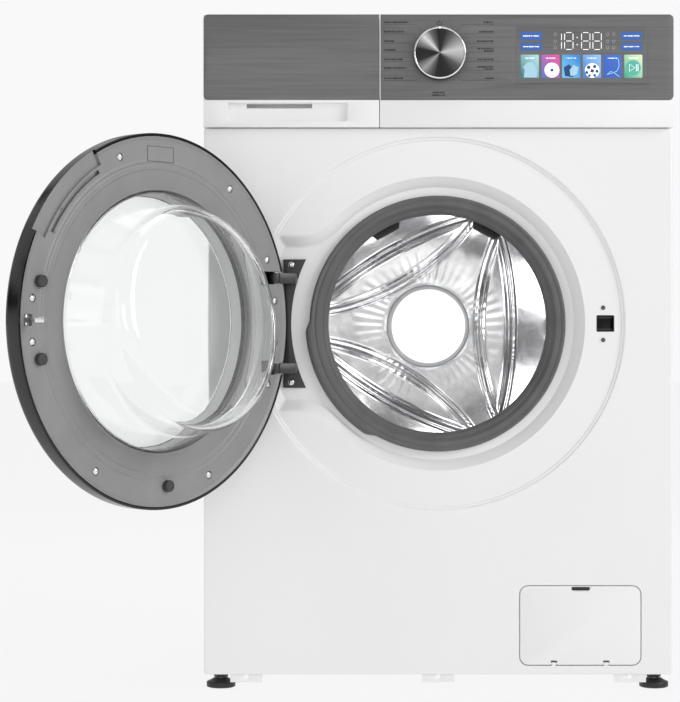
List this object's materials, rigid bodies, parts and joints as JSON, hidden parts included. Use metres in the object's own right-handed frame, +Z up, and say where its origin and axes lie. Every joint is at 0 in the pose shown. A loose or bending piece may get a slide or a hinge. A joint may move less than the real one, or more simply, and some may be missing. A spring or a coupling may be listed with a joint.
{
  "type": "front load washing machine",
  "caption": "White free-standing front load washing machine with a round glass door, turning drum, selector knob, display panel and detergent drawer.",
  "frame": {"origin": "on the floor, at the middle of the cabinet's footprint", "axes": "+X to the machine's right as seen from the front, +Y to the back, +Z up"},
  "size_m": [0.7988, 0.8646, 0.856],
  "materials": {
    "painted_cabinet": "smooth white baked enamel",
    "white_plastic": "moulded white ABS",
    "brushed_panel": "brushed grey",
    "panel_glass": "smooth tinted display cover",
    "knob_black": "satin black",
    "board": "circuit board with components",
    "grey_polymer": "moulded polypropylene",
    "blue_cap": "moulded plastic",
    "hose_rubber": "black rubber",
    "gasket_rubber": "grey EPDM",
    "bearing_steel": "zinc plated steel",
    "motor_paint": "motor casing",
    "concrete": "cast concrete",
    "damper_plastic": "glass filled plastic",
    "hinge_steel": "dark phosphated steel",
    "lock_black": "black moulded plastic",
    "drum_steel": "polished stainless steel",
    "cast_aluminium": "die cast",
    "door_black": "gloss black",
    "door_grey": "satin grey moulding",
    "clear_glass": "pressed glass",
    "clear_window": "clear acrylic",
    "foot_rubber": "black nylon",
    "bumper_rubber": "grey rubber"
  },
  "bodies": {
    "cabinet": {"base_tray": "grey_polymer", "bearings": "bearing_steel", "control_board": "board", "control_panel": "brushed_panel", "cord_gland": "grey_polymer", "counterweights": "concrete", "dampers": "damper_plastic", "dispenser_housing": "grey_polymer", "display_lens": "panel_glass", "door_gasket": "gasket_rubber", "door_lock": "lock_black", "drain_pump": "grey_polymer", "drain_spigot": "grey_polymer", "drive_belt": "hose_rubber", "fascia": "white_plastic", "fill_hose": "hose_rubber", "foot_lock_nuts": "bearing_steel", "front_panel": "painted_cabinet", "front_screws": "bearing_steel", "heater": "bearing_steel", "hinge_plate": "hinge_steel", "inlet_valve": "grey_polymer", "motor_housing": "motor_paint", "rear_panel": "painted_cabinet", "rear_screws": "bearing_steel", "side_panel_left": "painted_cabinet", "side_panel_right": "painted_cabinet", "spray_nozzles": "grey_polymer", "sump_hose": "hose_rubber", "suspension_springs": "bearing_steel", "top_cover": "painted_cabinet", "transit_caps": "grey_polymer", "tub_front": "grey_polymer", "tub_rear": "grey_polymer"},
    "knob": {"selector_knob": "knob_black", "knob_cap": "brushed_panel"},
    "drawer": {"drawer_front": "brushed_panel", "drawer_handle": "white_plastic", "drawer_tray": "white_plastic", "softener_cap": "grey_polymer"},
    "drum": {"drum_shell": "drum_steel", "drum_back": "drum_steel", "drum_lifters": "drum_steel", "drum_spider": "cast_aluminium", "drum_pulley": "cast_aluminium"},
    "rotor": {"motor_rotor": "motor_paint"},
    "door": {"door_outer_frame": "door_black", "door_window": "clear_window", "door_inner_frame": "door_grey", "door_glass": "clear_glass", "door_screws": "bearing_steel", "door_bumpers": "bumper_rubber", "hinge_pins": "bearing_steel"},
    "latch": {"latch_hook": "bearing_steel"},
    "flap": {"filter_flap": "white_plastic"},
    "filter": {"filter_cap": "blue_cap"},
    "foot_fl": {"foot_front_left": "foot_rubber"},
    "foot_fr": {"foot_front_right": "foot_rubber"},
    "foot_rl": {"foot_rear_left": "foot_rubber"},
    "foot_rr": {"foot_rear_right": "foot_rubber"}
  },
  "joints": [
    {"name": "door_hinge", "type": "hinge", "parent": "cabinet", "child": "door", "pos_m": [-0.207, -0.2615, 0.465], "axis": [0, 0, 1], "range_deg": [0, 131]},
    {"name": "latch_pivot", "type": "hinge", "parent": "door", "child": "latch", "pos_m": [-0.47954, -0.57579, 0.465], "axis": [0, 0, 1], "range_deg": [-4, 4], "stiffness_Nm_per_rad": 0.3},
    {"name": "drum_spin", "type": "hinge", "parent": "cabinet", "child": "drum", "pos_m": [0, 0.0525, 0.465], "axis": [0, 1, 0], "continuous": true},
    {"name": "motor_spin", "type": "hinge", "parent": "cabinet", "child": "rotor", "pos_m": [-0.06, 0.1025, 0.128], "axis": [0, 1, 0], "continuous": true},
    {"name": "drawer_slide", "type": "slide", "parent": "cabinet", "child": "drawer", "axis": [0, -1, 0], "range_m": [0, 0.19]},
    {"name": "selector_turn", "type": "hinge", "parent": "cabinet", "child": "knob", "pos_m": [0.001, -0.2675, 0.8055], "axis": [0, -1, 0], "continuous": true},
    {"name": "flap_hinge", "type": "hinge", "parent": "cabinet", "child": "flap", "pos_m": [0.18, -0.2461, 0.033], "axis": [1, 0, 0], "range_deg": [0, 85]},
    {"name": "filter_turn", "type": "hinge", "parent": "cabinet", "child": "filter", "pos_m": [0.16, -0.2175, 0.08], "axis": [0, -1, 0], "range_deg": [0, 90]},
    {"name": "foot_fl_screw", "type": "hinge", "parent": "cabinet", "child": "foot_fl", "pos_m": [-0.277, -0.2225, 0.01], "axis": [0, 0, 1], "continuous": true},
    {"name": "foot_fr_screw", "type": "hinge", "parent": "cabinet", "child": "foot_fr", "pos_m": [0.277, -0.2225, 0.01], "axis": [0, 0, 1], "continuous": true},
    {"name": "foot_rl_screw", "type": "hinge", "parent": "cabinet", "child": "foot_rl", "pos_m": [-0.277, 0.2225, 0.01], "axis": [0, 0, 1], "continuous": true},
    {"name": "foot_rr_screw", "type": "hinge", "parent": "cabinet", "child": "foot_rr", "pos_m": [0.277, 0.2225, 0.01], "axis": [0, 0, 1], "continuous": true}
  ],
  "couplings": [
    {"joint": "motor_spin", "follows": "drum_spin", "ratio": 11.406}
  ]
}
